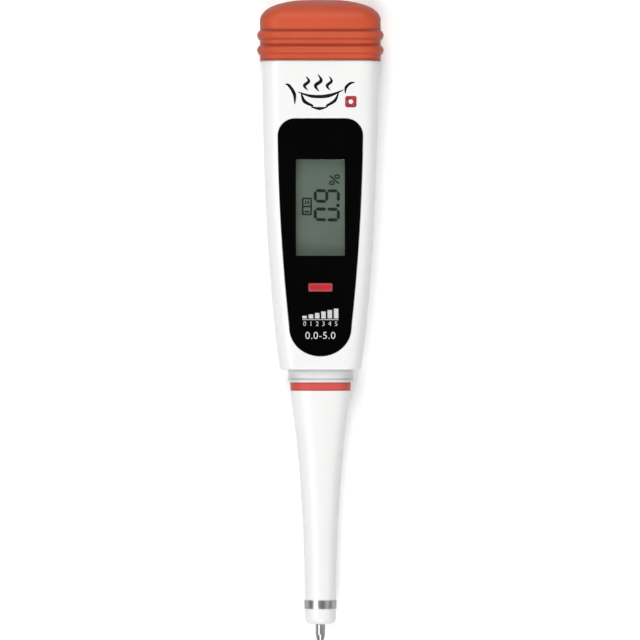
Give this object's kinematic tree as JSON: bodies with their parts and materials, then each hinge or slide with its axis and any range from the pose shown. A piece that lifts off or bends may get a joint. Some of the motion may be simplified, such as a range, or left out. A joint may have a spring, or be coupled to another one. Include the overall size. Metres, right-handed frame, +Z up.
{
  "type": "salinity_meter",
  "caption": "Pen-type digital salinity meter: tapered body with display and key, ribbed end cap, and a slim probe with ring and pin electrodes that is dipped in food.",
  "frame": {"origin": "on the surface that the meter lies on, below the middle of its length and its centre line", "axes": "+Y runs from the probe tip to the top cap, +Z points up out of the display, +X is to the right when the display is read with the cap at the top"},
  "size_m": [0.034, 0.1734, 0.0227],
  "materials": {
    "cap_orange": "satin moulded, orange",
    "shell_white": "white, soft gloss",
    "panel_black": "black, gloss",
    "window_clear": "clear",
    "display_glass": "grey-green liquid crystal",
    "reflector_silver": "matt foil",
    "holder_black": "moulded",
    "key_red": "red, satin",
    "seal_red": "red silicone",
    "gasket_dark": "black",
    "collar_grey": "pale grey",
    "steel": "turned stainless",
    "contact_nickel": "nickel plated",
    "cell_steel": "nickel plated can",
    "tray_white": "moulded",
    "board_green": "solder mask",
    "chip_black": "epoxy",
    "crystal_can": "drawn can",
    "ceramic_tan": "ceramic",
    "screw_zinc": "zinc plated",
    "lead_insulation": "soft insulation"
  },
  "bodies": {
    "housing": {"cap_gasket": "gasket_dark", "front_housing": "shell_white", "rear_housing": "shell_white", "front_panel": "panel_black", "window_lens": "window_clear", "lcd_glass": "display_glass", "lcd_reflector": "reflector_silver", "lcd_connectors": "gasket_dark", "lcd_holder": "holder_black", "main_board": "board_green", "housing_screws": "screw_zinc", "board_screws": "screw_zinc", "controller_chip": "chip_black", "amplifier_chip": "chip_black", "clock_crystal": "crystal_can", "board_capacitors": "ceramic_tan", "board_resistors": "chip_black", "switch_body": "chip_black", "leaf_contact_left": "contact_nickel", "leaf_contact_right": "contact_nickel", "probe_sleeve": "shell_white", "stem_gasket": "gasket_dark", "neck_collar": "collar_grey", "seal_ring": "seal_red", "ring_electrode": "steel", "probe_nose": "shell_white", "sensor_pin": "steel", "thermistor": "ceramic_tan", "ring_lead": "lead_insulation", "pin_lead": "lead_insulation", "thermistor_lead": "lead_insulation"},
    "battery_tray": {"battery_tray": "tray_white", "bridge_strap": "contact_nickel", "button_cell_left": "cell_steel", "button_cell_right": "cell_steel"},
    "top_cap": {"top_cap": "cap_orange"},
    "measure_key": {"measure_key": "key_red"},
    "switch_plunger": {"switch_plunger": "chip_black"}
  },
  "joints": [
    {"name": "tray_slide", "type": "slide", "parent": "housing", "child": "battery_tray", "axis": [0, 1, 0], "range_m": [0, 0.026]},
    {"name": "cap_slide", "type": "slide", "parent": "battery_tray", "child": "top_cap", "axis": [0, 1, 0], "range_m": [0, 0.015]},
    {"name": "key_press", "type": "slide", "parent": "housing", "child": "measure_key", "axis": [0, 0.064, -0.9979], "range_m": [0, 0.0005], "stiffness_N_per_m": 600},
    {"name": "switch_press", "type": "slide", "parent": "housing", "child": "switch_plunger", "axis": [0, 0.064, -0.9979], "range_m": [0, 0.0005]}
  ],
  "couplings": [
    {"joint": "switch_press", "follows": "key_press", "ratio": 1}
  ]
}
